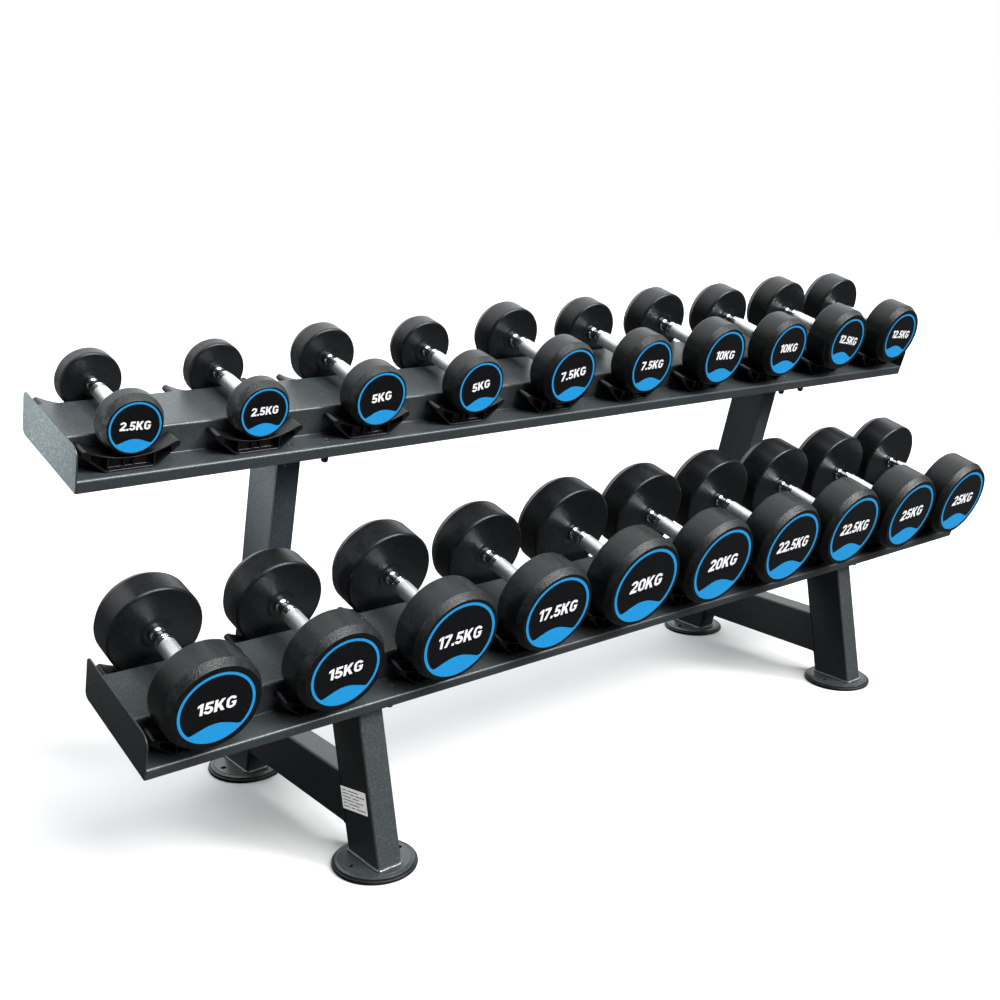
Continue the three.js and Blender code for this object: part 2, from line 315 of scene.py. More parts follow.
def bead(shape, path, up):
    """A weld along a closed path, with the ripples of its pools."""
    step, sides = 0.0008, 8
    least, swell = 0.88, 0.14  # of the radius
    drift, drift_rate = 0.35, 0.37  # how uneven the pools are, and how fast it changes
    path = even(path, step)
    count = len(path)
    pools = round(count * step / WELD_RIPPLE)
    rings = []
    for i, here in enumerate(path):
        along = (path[(i + 1) % count] - path[i - 1]).normalized()
        side = along.cross(up).normalized()
        square = side.cross(along)
        wave = abs(math.sin(math.pi * pools * i / count + drift * math.sin(drift_rate * i)))
        size = WELD_RADIUS * (least + swell * wave)
        angles = [2 * math.pi * k / sides for k in range(sides)]
        rings.append(shape.loop(
            here + (side * math.cos(a) + square * math.sin(a)) * size for a in angles
        ))
    for i in range(count):
        shape.skin(rings[i - 1], rings[i])


def linked(name, data):
    thing = bpy.data.objects.new(name, data)
    bpy.context.scene.collection.objects.link(thing)
    return thing


def show(name, data, body="rack", matrix=None, stands_for=()):
    """Places a mesh as a piece of the model."""
    piece = linked(name, data)
    if matrix is not None:
        piece.matrix_world = matrix
    normals = piece.modifiers.new("even_normals", "WEIGHTED_NORMAL")
    normals.keep_sharp = True
    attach(piece, body)
    if stands_for:
        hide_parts(*stands_for)
    return piece


# ---- Materials ----


def map_range(tree, value, low, high, to_low, to_high):
    """A node that takes the range low to high to another range."""
    node = tree.nodes.new("ShaderNodeMapRange")
    limits = {"From Min": low, "From Max": high, "To Min": to_low, "To Max": to_high}
    for socket, number in limits.items():
        node.inputs[socket].default_value = number
    tree.links.new(value, node.inputs["Value"])
    return node


class Finish:
    """A principled material with short ways to add procedural detail, sized in metres."""

    def __init__(self, name, color, roughness, metallic=0.0, specular=0.45):
        self.material = bpy.data.materials.new(name)
        self.material.use_nodes = True
        self.tree = self.material.node_tree
        self.nodes = self.tree.nodes
        self.links = self.tree.links
        self.shader = self.nodes["Principled BSDF"]
        self.shader.inputs["Base Color"].default_value = (*color, 1)
        self.shader.inputs["Roughness"].default_value = roughness
        self.shader.inputs["Metallic"].default_value = metallic
        self.shader.inputs["Specular IOR Level"].default_value = specular
        self.place = self.nodes.new("ShaderNodeTexCoord").outputs["Object"]
        self.height = None

    def noise(self, size, detail, rough=0.5):
        node = self.nodes.new("ShaderNodeTexNoise")
        node.inputs["Scale"].default_value = 1 / size
        node.inputs["Detail"].default_value = detail
        node.inputs["Roughness"].default_value = rough
        self.links.new(self.place, node.inputs["Vector"])
        return node.outputs["Fac"]

    def cells(self, size):
        node = self.nodes.new("ShaderNodeTexVoronoi")
        node.inputs["Scale"].default_value = 1 / size
        self.links.new(self.place, node.inputs["Vector"])
        return node.outputs["Distance"]

    def fit(self, value, low, high, to_low=0, to_high=1):
        return map_range(self.tree, value, low, high, to_low, to_high).outputs["Result"]

    def blend(self, amount, a, b):
        node = self.nodes.new("ShaderNodeMix")
        node.data_type = "RGBA"
        self.links.new(amount, node.inputs["Factor"])
        for socket, color in ((node.inputs[6], a), (node.inputs[7], b)):
            if isinstance(color, tuple):
                socket.default_value = (*color, 1)
            else:
                self.links.new(color, socket)
        return node.outputs[2]

    def color(self, amount, a, b):
        self.links.new(self.blend(amount, a, b), self.shader.inputs["Base Color"])

    def rough(self, noise, smoothest, roughest):
        """Roughness over the middle of a noise's range."""
        self.links.new(self.fit(noise, 0.3, 0.7, smoothest, roughest), self.shader.inputs["Roughness"])

    def bump(self, height, distance):
        node = self.nodes.new("ShaderNodeBump")
        node.inputs["Distance"].default_value = distance
        self.links.new(height, node.inputs["Height"])
        if self.height:
            self.links.new(self.height, node.inputs["Normal"])
        self.height = node.outputs["Normal"]
        self.links.new(self.height, self.shader.inputs["Normal"])


def powder_coat(name, dark, light, fleck):
    """Satin graphite paint with metal flakes and a fine orange peel."""
    f = Finish(name, dark, 0.42, metallic=0.3)
    cloud = f.fit(f.noise(0.007, 5, 0.7), 0.3, 0.7)
    flakes = f.fit(f.noise(0.0021, 3, 0.7), 0.53, 0.70)
    f.color(flakes, f.blend(cloud, dark, light), fleck)
    f.rough(f.noise(0.004, 4, 0.6), 0.29, 0.42)
    f.bump(f.noise(0.0011, 3), 0.00005)
    f.bump(f.noise(0.0035, 2), 0.00008)
    return f.material


def rubber(name, dark, light, grain, depth, roughness=0.34):
    """Moulded rubber: cloudy satin with a fine grain."""
    spread = 0.08
    f = Finish(name, dark, roughness, specular=0.34)
    f.color(f.fit(f.noise(0.009, 5, 0.7), 0.38, 0.62), dark, light)
    f.rough(f.noise(0.006, 4, 0.65), roughness - spread, roughness + spread)
    f.bump(f.cells(grain), depth)
    f.bump(f.noise(0.004, 3), 0.00012)
    return f.material


def print_ink(name, dark, light):
    f = Finish(name, dark, 0.32, specular=0.4)
    f.color(f.fit(f.noise(0.0022, 3), 0.35, 0.65), dark, light)
    f.rough(f.noise(0.003, 2), 0.26, 0.4)
    f.bump(f.noise(0.0012, 2), 0.00002)
    return f.material


def disc_plastic():
    f = Finish("label_disc", (0.0035, 0.0035, 0.004), 0.3, specular=0.25)
    f.color(f.noise(0.010, 4, 0.6), (0.0022, 0.0024, 0.0028), (0.0055, 0.0060, 0.0068))
    f.rough(f.noise(0.005, 4), 0.24, 0.38)
    f.bump(f.noise(0.0014, 2), 0.00004)
    return f.material


def chrome(name, roughness, spread):
    f = Finish(name, (0.86, 0.87, 0.88), roughness, metallic=1.0)
    f.rough(f.noise(0.002, 3), roughness - spread, roughness + spread)
    f.color(f.noise(0.006, 3), (0.84, 0.85, 0.87), (0.96, 0.97, 0.98))
    return f.material


def moulded_plastic():
    f = Finish("saddle_plastic", (0.004, 0.0042, 0.0045), 0.32, specular=0.3)
    f.color(f.noise(0.007, 4), (0.0028, 0.0030, 0.0032), (0.0062, 0.0066, 0.007))
    f.rough(f.noise(0.0018, 3), 0.26, 0.40)
    f.bump(f.cells(0.0011), 0.00005)
    return f.material


def bolt_finish():
    f = Finish("bolt_black", (0.010, 0.010, 0.011), 0.38, specular=0.5)
    f.color(f.noise(0.003, 3), (0.007, 0.007, 0.008), (0.016, 0.016, 0.017))
    f.rough(f.noise(0.0015, 2), 0.3, 0.46)
    return f.material


def weld_with_painted_highlight():
    """The welds at the feet, lighter than the paint round them: the lighter colour is a painted highlight
    along the weld.
    """
    f = Finish("weld_bead", (0.10, 0.105, 0.11), 0.28, metallic=0.6, specular=0.6)
    f.color(f.fit(f.noise(0.003, 3), 0.35, 0.65), (0.06, 0.065, 0.07), (0.22, 0.23, 0.24))
    f.bump(f.noise(0.0012, 3), 0.0001)
    return f.material


def paper():
    """White paper with a faint glow of painted light, lifted a little to come near the label in the
    photo.
    """
    f = Finish("label_paper", (0.92, 0.92, 0.91), 0.55, specular=0.3)
    f.color(f.noise(0.002, 4), (0.88, 0.88, 0.87), (0.95, 0.95, 0.94))
    f.bump(f.noise(0.0008, 3), 0.00003)
    # Painted light: a faint glow, though the paper is no lamp.
    f.shader.inputs["Emission Color"].default_value = (1, 1, 1, 1)
    f.shader.inputs["Emission Strength"].default_value = 0.35
    return f.material


COAT = powder_coat(
    "powder_coat", dark=(0.034, 0.040, 0.043), light=(0.043, 0.051, 0.054), fleck=(0.115, 0.132, 0.138)
)
SIDE_RUBBER = rubber(
    "rubber_side", (0.0026, 0.0031, 0.0033), (0.0056, 0.0066, 0.0070),
    grain=0.0008, depth=0.00005,
)
# Lighter than the side rubber: partly the matte stipple, partly a painted highlight standing in for light
# on the chamfer.
CHAMFER_RUBBER = rubber(
    "rubber_stipple_and_painted_highlight", (0.0075, 0.0080, 0.0083), (0.0180, 0.0190, 0.0195),
    grain=0.0019, depth=0.0004,
)
FOOT_RUBBER = rubber(
    "foot_rubber", (0.006, 0.006, 0.0065), (0.013, 0.013, 0.014),
    grain=0.0012, depth=0.0001, roughness=0.5,
)
DISC = disc_plastic()
BLUE = print_ink("blue_print", dark=(0.011, 0.25, 0.58), light=(0.017, 0.30, 0.67))
WHITE = print_ink("white_print", dark=(0.84, 0.85, 0.86), light=(0.92, 0.92, 0.92))
GREY_INK = print_ink("grey_print", dark=(0.30, 0.30, 0.31), light=(0.42, 0.42, 0.43))
CHROME = chrome("handle_chrome", roughness=0.15, spread=0.04)
KNURL = chrome("handle_knurl", roughness=0.44, spread=0.06)
PLASTIC = moulded_plastic()
BOLT_BLACK = bolt_finish()
WELD = weld_with_painted_highlight()
PAPER = paper()

# ---- Frames of the trays and the dumbbells ----

LIFT_AXIS = Vector(frame["joints"][0]["axis"])  # square to the trays
TILT = math.atan2(-LIFT_AXIS.y, LIFT_AXIS.z)


def node_name(weight, copy):
    return f"dumbbell_{weight.replace('.', '_')}kg_{copy}"


def middle_of(node):
    low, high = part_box(node)
    return (low + high) / 2


def radius_of(node):
    low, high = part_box(node)
    return (high.x - low.x) / 2


def tray_frame(name):
    """The tray's frame, from where its first dumbbell rests."""
    tray = TRAYS[name]
    first = node_name(PAIRS[name][0][0], "a")
    centre = middle_of(first)
    turned = Matrix.Rotation(TILT, 4, "X")
    rest = Vector((0, tray["depth"] / 2, tray["deck"] + SEAT_HEIGHT + 2 * CLEARANCE + radius_of(first)))
    start = Vector((0, centre.y, centre.z)) - turned @ rest
    return Matrix.Translation(start) @ turned


TRAY_FRAMES = {name: tray_frame(name) for name in TRAYS}
SIDES = {side: middle_of(f"{side}_rear_foot_pad").x for side in ("left", "right")}


def places(name):
    """The places of a tray's dumbbells along the rack."""
    return [middle_of(node_name(pair[0], copy)).x for pair in PAIRS[name] for copy in "ab"]


# ---- Trays and what is fixed to them ----


def bolt_places(tray):
    spread = [x + step for x in SIDES.values() for step in (-BOLT_SPREAD, BOLT_SPREAD)]
    return [(x, y) for y in (BOLT_FROM_EDGE, tray["depth"] - BOLT_FROM_EDGE) for x in spread]


def tray_mesh(name):
    """One sheet: lip, low deck, riser, raised deck, riser, low deck, lip, and back under."""
    tray = TRAYS[name]
    depth, deck, raised = tray["depth"], tray["deck"], tray["raised"]
    near, far = RISER_INSET - SHEET / 2, RISER_INSET + SHEET / 2
    over = [
        (0, 0, CUT_EDGE),
        (0, deck, FOLD_OUTSIDE),
        (near, deck, FOLD_INSIDE),
        (near, raised, FOLD_OUTSIDE),
    ]
    under = [
        (far, raised - SHEET, FOLD_INSIDE),
        (far, deck - SHEET, FOLD_OUTSIDE),
        (SHEET, deck - SHEET, FOLD_INSIDE),
        (SHEET, 0, CUT_EDGE),
    ]

    def rear(corners):
        return [(depth - y, z, radius) for y, z, radius in reversed(corners)]

    steps = 6
    outline = rounded(over + rear(over) + rear(under) + under, steps)
    low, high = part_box(f"{name}_tray")
    shape = Shape()
    ends = [shape.loop(Vector((x, p.x, p.y)) for p in outline) for x in (low.x, high.x)]
    # The bolts pass the flats after these corners: the decks' tops (1) and undersides (0).
    before_flats = {1: 1, 5: 1, 9: 0, 13: 0}
    flats = {(corner + 1) * (steps + 1) - 1: top for corner, top in before_flats.items()}
    mouths = {0: [], 1: []}

    for x, y in bolt_places(tray):
        for top, mouth in enumerate(drilled(shape, straight, x, y, BOLT_HOLE, deck - SHEET, deck)):
            mouths[top].append((y, mouth))
    count = len(outline)
    for i in range(count):
        j = (i + 1) % count
        corners = [ends[0][i], ends[0][j], ends[1][j], ends[1][i]]
        if i in flats:
            front = outline[i].x < depth / 2
            holes = [mouth for y, mouth in mouths[flats[i]] if (y < depth / 2) == front]
            shape.fill([corners, *holes])
        else:
            shape.face(corners)
    for end in ends:
        shape.fill([end])
    return shape.mesh(f"{name}_tray_sheet", [COAT])


def end_plate_mesh(name, node):
    tray = TRAYS[name]
    low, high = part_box(node)
    r = PLATE_CORNERS
    outline = rounded([
        (0, 0, r["front_bottom"]),
        (tray["depth"], 0, r["rear_bottom"]),
        (tray["depth"], tray["plate"], r["rear_top"]),
        (0, tray["plate"], r["front_top"]),
    ], 12)
    shape = Shape()
    slab(shape, lambda y, z, x: Vector((x, y, z)), outline, low.x, high.x, CUT_EDGE)
    return shape.mesh(node + "_steel", [COAT])


def bracket_top(tray):
    return tray["deck"] - SHEET - CLEARANCE


def bracket_mesh(name, side):
    tray = TRAYS[name]
    top = bracket_top(tray)
    bottom = top - BRACKET_THICKNESS
    middle = tray["depth"] / 2
    box = rounded_box(BRACKET_WIDTH, tray["depth"] - 2 * BRACKET_EDGE, BRACKET_CORNER)
    shape = Shape()

    def place(x, y, z):
        return Vector((SIDES[side] + x, middle + y, z))

    holes = [
        drilled(shape, place, x, y, BOLT_HOLE, bottom, top)
        for x in (-BOLT_SPREAD, BOLT_SPREAD)
        for y in (BOLT_FROM_EDGE - middle, middle - BOLT_FROM_EDGE)
    ]
    mouths = list(zip(*holes))
    slab(shape, place, box, bottom, top, CUT_EDGE, mouths[0], mouths[1])
    return shape.mesh(f"{name}_{side}_bracket_plate", [COAT])


def bolt_mesh(name):
    """A capped bolt: its end in the deck, a washer, a nut and a domed cap."""
    tray = TRAYS[name]
    end = tray["deck"] - CLEARANCE
    seat = bracket_top(tray) - BRACKET_THICKNESS - CLEARANCE
    washer, nut = 0.0016, 0.0070  # thickness
    washer_radius, nut_radius, cap_radius = 0.0090, 0.0084, 0.0064
    soft, end_round = 0.0004, 0.0010
    nut_top = seat - washer
    shape = Shape()

    shank = rounded([
        (0, nut_top, 0),
        (washer_radius, nut_top, soft),
        (washer_radius, seat, soft),
        (BOLT_SHANK, seat, 0),
        (BOLT_SHANK, end, end_round),
        (0, end, 0),
    ], 3)
    painted = [int(min(a.y, b.y) > end - 1.1 * end_round) for a, b in zip(shank, shank[1:])]
    shape.turn(shank, straight, 32, painted)
    hexagon = [(p.x, p.y, 0.0006) for p in arc((0, 0), nut_radius, 0, 300, 5)]
    slab(shape, straight, rounded(hexagon, 2), nut_top - nut, nut_top, 0.0007)
    cap = rounded([
        (0, BOLT_BOTTOM, 0),
        (cap_radius, BOLT_BOTTOM, 0.0035),
        (cap_radius + soft, nut_top - nut, 0),
        (0, nut_top - nut, 0),
    ], 6)
    shape.turn(cap, straight, 32)
    return shape.mesh(f"{name}_bolt", [BOLT_BLACK, COAT])


def build_trays():
    for name, tray in TRAYS.items():
        at = TRAY_FRAMES[name]
        show(f"{name}_tray_sheet", tray_mesh(name), matrix=at, stands_for=[f"{name}_tray"])
        for side in SIDES:
            plate = f"{name}_{side}_end_plate"
            show(f"{plate}_steel", end_plate_mesh(name, plate), matrix=at, stands_for=[plate])
            node = f"{name}_{side}_bracket"
            show(f"{node}_plate", bracket_mesh(name, side), matrix=at, stands_for=[node])
        bolt = bolt_mesh(name)
        for k, (x, y) in enumerate(bolt_places(tray)):
            side = "left" if x < 0 else "right"
            edge = "front" if y < tray["depth"] / 2 else "rear"
            node = f"{name}_{side}_bolt_{k % 2 + 1}"
            show(f"{name}_{side}_{edge}_capped_bolt_{k % 2 + 1}", bolt,
                 matrix=at @ Matrix.Translation((x, y, 0)), stands_for=[node] if edge == "front" else ())


# ---- Cradles ----


def saddle_mesh():
    """A moulded cradle: thin flanges round deep pockets, on both its faces.

    Its outline is drawn across the rack and above the deck, and its depth runs both ways
    from the middle. The seat is an arc that meets both horns.
    """
    rise = HORN_Z - SEAT_HEIGHT
    seat_radius = (HORN_X ** 2 + rise ** 2 - HORN_RADIUS ** 2) / (2 * (HORN_RADIUS + rise))
    seat_middle = SEAT_HEIGHT + seat_radius
    to_seat = math.degrees(math.atan2(seat_middle - HORN_Z, -HORN_X))
    across, up = HORN_X - SADDLE_BASE, HORN_Z
    slope = math.atan2(up, across) - math.asin(HORN_RADIUS / math.hypot(across, up))

    horn = arc((HORN_X, HORN_Z), HORN_RADIUS, math.degrees(slope) - 90, to_seat, 12)
    seat = arc((0, seat_middle), seat_radius, to_seat - 180, -90, 14)[1:-1]
    right = [Vector((SADDLE_BASE, 0)), *horn, *seat]
    outline = right + [Vector((0, SEAT_HEIGHT))] + mirrored(right)

    def under_seat(x):
        return seat_middle - math.sqrt((seat_radius + FLANGE) ** 2 - x * x)

    def over_strut(x):
        return (x - SADDLE_BASE) * math.tan(slope) + FLANGE / math.cos(slope)

    def opening(left, right, floor, gap, radius):
        """An opening under the seat, from a floor given as a function of x."""
        steps = 6
        xs = [right + (left - right) * k / steps for k in range(steps + 1)]
        top = [(x, under_seat(x) - gap, radius if k in (0, steps) else 0) for k, x in enumerate(xs)]
        return rounded([(left, floor(left), radius), (right, floor(right), radius), *top], 4)

    rib, tip = 0.0365, 0.0650  # the wide pocket ends at a rib, and the triangle at its tip
    ledge = 0.0012  # round the deeper panels
    slot_half, panel_start, panel_end = 0.0062, 0.0098, 0.0350

    def over_flange(x):
        return FLANGE

    def over_ledge(x):
        return FLANGE + ledge

    triangle = opening(rib + FLANGE, tip, over_strut, 0, 0.0012)
    middle = opening(-rib, rib, over_flange, 0, 0.0010)
    panel = opening(panel_start, panel_end, over_ledge, ledge, 0.0008)
    slot = opening(-slot_half, slot_half, over_ledge, ledge, 0.0008)
    triangle_depth, middle_depth, panel_depth, slot_depth = 0.0145, 0.0095, 0.0040, 0.0052
    half = SADDLE_DEPTH / 2
    shape = Shape()
    mouths = []
    for direction in (-1, 1):
        def place(x, z, y, direction=direction):
            return Vector((x, direction * y, z))

        mouths.append([
            pocket(shape, place, triangle, half, triangle_depth),
            pocket(shape, place, mirrored(triangle), half, triangle_depth),
            pocket(shape, place, middle, half, middle_depth, [
                (panel, panel_depth),
                (mirrored(panel), panel_depth),
                (slot, slot_depth),
            ]),
        ])
    slab(shape, lambda x, z, y: Vector((x, y, z)), outline, -half, half, 0.0012, mouths[0], mouths[1])
    return shape.mesh("saddle", [PLASTIC], 40)


def build_saddles():
    data = saddle_mesh()
    for name, tray in TRAYS.items():
        edges = {
            "front": SADDLE_FRONT + SADDLE_DEPTH / 2,
            "rear": tray["depth"] - SADDLE_REAR - SADDLE_DEPTH / 2,
        }
        for edge, y in edges.items():
            for k, x in enumerate(places(name)):
                side = "left" if x < 0 else "right"
                first = k % 5 == 0
                at = TRAY_FRAMES[name] @ Matrix.Translation((x, y, tray["deck"] + CLEARANCE))
                show(f"{name}_{edge}_saddle_{k + 1}", data, matrix=at,
                     stands_for=[f"{name}_{edge}_{side}_saddles"] if first else ())


# ---- Side frames ----

FOOT_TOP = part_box("left_rear_foot_plate")[1].z
FOOT_BASE = FOOT_TOP + CLEARANCE
MEMBERS = {"rear": ("upper", "post", REAR_POST_LEAN), "front": ("lower", "leg", FRONT_LEG_LEAN)}


def tube_point(place, side, u, v, z):
    """A point of an upright at a height, from its place in the tube's level section."""
    foot = middle_of(f"{side}_{place}_foot_plate")
    return Vector((foot.x + u, foot.y + v + MEMBERS[place][2] * (z - FOOT_BASE), z))


def under_bracket(place, side, u, v, gap=0.0):
    """Where a line of an upright meets the underside of the bracket, or stops short of it."""
    name, _, lean = MEMBERS[place]
    plate = bracket_top(TRAYS[name]) - BRACKET_THICKNESS - CLEARANCE - gap
    point = TRAY_FRAMES[name] @ Vector((0, 0, plate))
    start = tube_point(place, side, u, v, FOOT_BASE)
    along = Vector((0, lean, 1))
    return start + along * ((point - start).dot(LIFT_AXIS) / along.dot(LIFT_AXIS))


def upright_mesh(place, side):
    outside = rounded_box(TUBE_WIDTH, TUBE_DEPTH, TUBE_CORNER)
    inside = inset(outside, TUBE_WALL)
    shape = Shape()
    loops = [
        shape.loop(tube_point(place, side, *p, FOOT_BASE) for p in outside),
        shape.loop(under_bracket(place, side, *p) for p in outside),
        shape.loop(under_bracket(place, side, *p) for p in inside),
        shape.loop(tube_point(place, side, *p, FOOT_BASE) for p in inside),
    ]
    for k in range(4):
        shape.skin(loops[k], loops[(k + 1) % 4])
    return shape.mesh(f"{side}_{place}_{MEMBERS[place][1]}_tube", [COAT])


def brace_end(place, side, p, away):
    """A point where a line of the brace meets the upright's face and its round corners."""
    past = max(0.0, abs(p.x) - (TUBE_WIDTH / 2 - TUBE_CORNER))
    drop = TUBE_CORNER - math.sqrt(max(0.0, TUBE_CORNER ** 2 - past ** 2))
    inwards = 1 if place == "front" else -1
    return tube_point(place, side, p.x, inwards * (TUBE_DEPTH / 2 - drop + away), p.y)


def brace_section(outwards):
    height = BRACE_TOP - BRACE_BOTTOM
    section = inset(rounded_box(TUBE_WIDTH, height, TUBE_CORNER), -outwards)
    return [p + Vector((0, BRACE_BOTTOM + height / 2)) for p in section]


def brace_mesh(side):
    sunk = -0.0022  # the ends reach into the walls of the uprights
    shape = Shape()
    loops = [
        shape.loop(brace_end(place, side, p, sunk) for p in brace_section(outwards))
        for place, outwards in (("front", 0), ("rear", 0), ("rear", -TUBE_WALL), ("front", -TUBE_WALL))
    ]
    for k in range(4):
        shape.skin(loops[k], loops[(k + 1) % 4])
    return shape.mesh(f"{side}_brace_tube", [COAT])


def foot_disc(shape, centre, profile, hole_radius, spread):
    """A disc from a profile of (radius, height), with two holes along the rack."""
    def place(x, y, z):
        return Vector((centre.x + x, centre.y + y, z))

    low, high = profile[0].y, profile[-1].y
    holes = [drilled(shape, place, x, 0, hole_radius, low, high) for x in (-spread, spread)]
    rings = [shape.loop(lifted(place, arc((0, 0), p.x, 0, 360, 96)[:-1], p.y)) for p in profile]
    for a, b in zip(rings, rings[1:]):
        shape.skin(a, b)
    mouths = list(zip(*holes))
    shape.fill([rings[0], *mouths[0]])
    shape.fill([rings[-1], *mouths[1]])


def side_profile(corners):
    """The rounded part of a profile, without the two points on the axis."""
    return rounded(corners, 5)[1:-1]


def foot_meshes(place, side):
    """A steel disc with a groove and a bevelled rim, on a rubber disc with round edges."""
    plate_low, plate_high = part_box(f"{side}_{place}_foot_plate")
    pad_low, pad_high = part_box(f"{side}_{place}_foot_pad")
    centre = (plate_low + plate_high) / 2
    edge = (plate_high.x - plate_low.x) / 2
    rim = (pad_high.x - pad_low.x) / 2
    hole_radius, spread = 0.0055, 0.051
    top, bevel = plate_high.z, 0.0026
    flat, groove = 0.0640, 0.0010  # the groove runs round the flat
    plate = Shape()
    foot_disc(plate, centre, side_profile([
        (0, plate_low.z, 0),
        (edge - 0.0004, plate_low.z, 0.0004),
        (edge, top - bevel, 0.0008),
        (flat + 0.0016, top - 0.0003, 0.0003),
        (flat + 0.0011, top - groove, 0.0002),
        (flat + 0.0004, top - groove, 0.0002),
        (flat, top, 0.0003),
        (0, top, 0),
    ]), hole_radius, spread)
    pad = Shape()
    foot_disc(pad, centre, side_profile([
        (0, pad_low.z, 0),
        (rim - 0.0010, pad_low.z, 0.0010),
        (rim, pad_low.z + 0.0030, 0.0015),
        (rim - 0.0004, pad_high.z, 0.0018),
        (0, pad_high.z, 0),
    ]), hole_radius, spread)
    return (plate.mesh(f"{side}_{place}_foot_disc", [COAT]),
            pad.mesh(f"{side}_{place}_foot_rubber", [FOOT_RUBBER]))


def weld_meshes(side):
    """Welds at both feet, lighter as a painted highlight, and welds in the powder coat under the brackets
    and round the brace.
    """
    proud, sunk = 0.0007, 0.0014
    section = inset(rounded_box(TUBE_WIDTH, TUBE_DEPTH, TUBE_CORNER), -proud)
    bright, painted = Shape(), Shape()
    for place in MEMBERS:
        foot = [tube_point(place, side, p.x, p.y, FOOT_TOP + proud) for p in section]
        bead(bright, foot, Vector((0, 0, 1)))
        bead(painted, [under_bracket(place, side, p.x, p.y, proud) for p in section], LIFT_AXIS)
        bead(painted, [brace_end(place, side, p, 0) for p in brace_section(-sunk)], Vector((0, 1, 0)))
    return (bright.mesh(f"{side}_foot_welds", [WELD], 60),
            painted.mesh(f"{side}_frame_welds", [COAT], 60))


def build_side_frames():
    for side in SIDES:
        for place, (_, member, _) in MEMBERS.items():
            node = f"{side}_{place}_{member}"
            show(f"{node}_tube", upright_mesh(place, side), stands_for=[node])
            plate, pad = foot_meshes(place, side)
            show(plate.name, plate, stands_for=[f"{side}_{place}_foot_plate"])
            show(pad.name, pad, stands_for=[f"{side}_{place}_foot_pad"])
        show(f"{side}_brace_tube", brace_mesh(side), stands_for=[f"{side}_brace"])
        bright, painted = weld_meshes(side)
        show(bright.name, bright)
        show(painted.name, painted)


def build_label():
    """A paper label on the outer face of the left front leg, with plain grey bars."""
    width, height, thickness = 0.080, 0.041, 0.0003
    middle = tube_point("front", "left", -TUBE_WIDTH / 2, 0.004, 0.117)
    turned = Matrix.Rotation(-math.atan(FRONT_LEG_LEAN), 4, "X")
    at = Matrix.Translation(middle) @ turned
    label = Shape()

    def face(y, z, out):
        return Vector((-out, y, z))

    slab(label, face, rounded_box(width, height, 0.0015), 0, thickness, 0.0001)
    show("left_leg_label", label.mesh("left_leg_label", [PAPER]), matrix=at)
    ink = Shape()
    rows, bar_height, bar_rise = 6, 0.0018, 0.00008
    right, left, gap = 0.44 * width, -0.44 * width, 0.05 * width
    shortest, longer = 0.16 * width, 0.09 * width  # a bar has one of four lengths
    for row in range(rows):
        z = height * (0.5 - (row + 1) / (rows + 1))
        start = right
        for bar in range(2 + row % 2):
            end = max(start - shortest - longer * ((row * 5 + bar * 3) % 4), left)
            centre = Vector(((start + end) / 2, z))
            outline = [p + centre for p in rounded_box(start - end, bar_height, 0.0003, 2)]
            slab(ink, face, outline, thickness, thickness + bar_rise, 0.00002)
            start = end - gap
            if start < left + 0.08 * width:
                break
    show("left_leg_label_bars", ink.mesh("left_leg_label_bars", [GREY_INK]), matrix=at)


# ---- Dumbbells ----

# The rear head is the front one turned half round about the tray's normal.
HALF_TURN = Matrix.Rotation(math.pi, 4, "Z")


def head_mesh(name, radius, thickness, chamfer, disc):
    """A rubber head, with y outwards from its inner face."""
    boss, boss_radius, boss_foot = 0.0012, 0.0210, 0.0270
    inner_edge, bend, outer_edge = 0.0050, 0.0022, 0.0014  # how far the rubber is rounded
    seat = disc + 0.0004
    chamfer_start = thickness - chamfer - CHAMFER_EXTRA
    profile = rounded([
        (0, -boss, 0),
        (boss_radius, -boss, 0.0030),
        (boss_foot, 0, 0.0060),
        (radius, 0, inner_edge),
        (radius, chamfer_start, bend),
        (radius - chamfer, thickness, outer_edge),
        (seat + 0.0002, thickness, 0.0003),
        (seat, thickness - DISC_SEAT, 0),
        (0, thickness - DISC_SEAT, 0),
    ], 6)
    # The chamfer's faces take the lighter stippled rubber, whose lightness is partly a painted highlight.
    on_chamfer = [
        min(a.y, b.y) > chamfer_start - 0.0002 and max(a.x, b.x) > radius - chamfer + 0.0004
        for a, b in zip(profile, profile[1:])
    ]
    shape = Shape()
    shape.turn(profile, lambda x, z, y: Vector((x, y, z)), 96, [int(on) for on in on_chamfer])
    return shape.mesh(name, [SIDE_RUBBER, CHAMFER_RUBBER], 40)


def both_faces(outer):
    """The frames of the two printed faces: x to the right, y up and z out of the face."""
    face = Matrix.Translation((0, -outer, 0)) @ Matrix.Rotation(math.pi / 2, 4, "X")
    return face, HALF_TURN @ face


def disc_mesh(name, outer, disc):
    edge = disc + 0.0002
    profile = rounded([
        (0, -DISC_SEAT, 0),
        (edge, -DISC_SEAT, 0),
        (edge, -DISC_SINK, 0.0003),
        (0, -DISC_SINK, 0),
    ], 3)
    shape = Shape()
    for face in both_faces(outer):
        shape.turn(profile, lambda x, y, z, face=face: face @ Vector((x, y, z)), 96)
    return shape.mesh(name, [DISC])


def print_mesh(name, outer, regions, ink):
    """Flat print on both faces. Each region is an outline and the holes in it."""
    shape = Shape()
    low, high = -DISC_SINK - PRINT_SINK, -DISC_SINK + PRINT_RISE
    for face in both_faces(outer):
        def place(x, y, z, face=face):
            return face @ Vector((x, y, z))

        for region in regions:
            ends = [[shape.loop(lifted(place, loop, z)) for loop in region] for z in (low, high)]
            for a, b in zip(*ends):
                shape.skin(a, b)
            for end in ends:
                shape.fill(end)
    return shape.mesh(name, [ink])


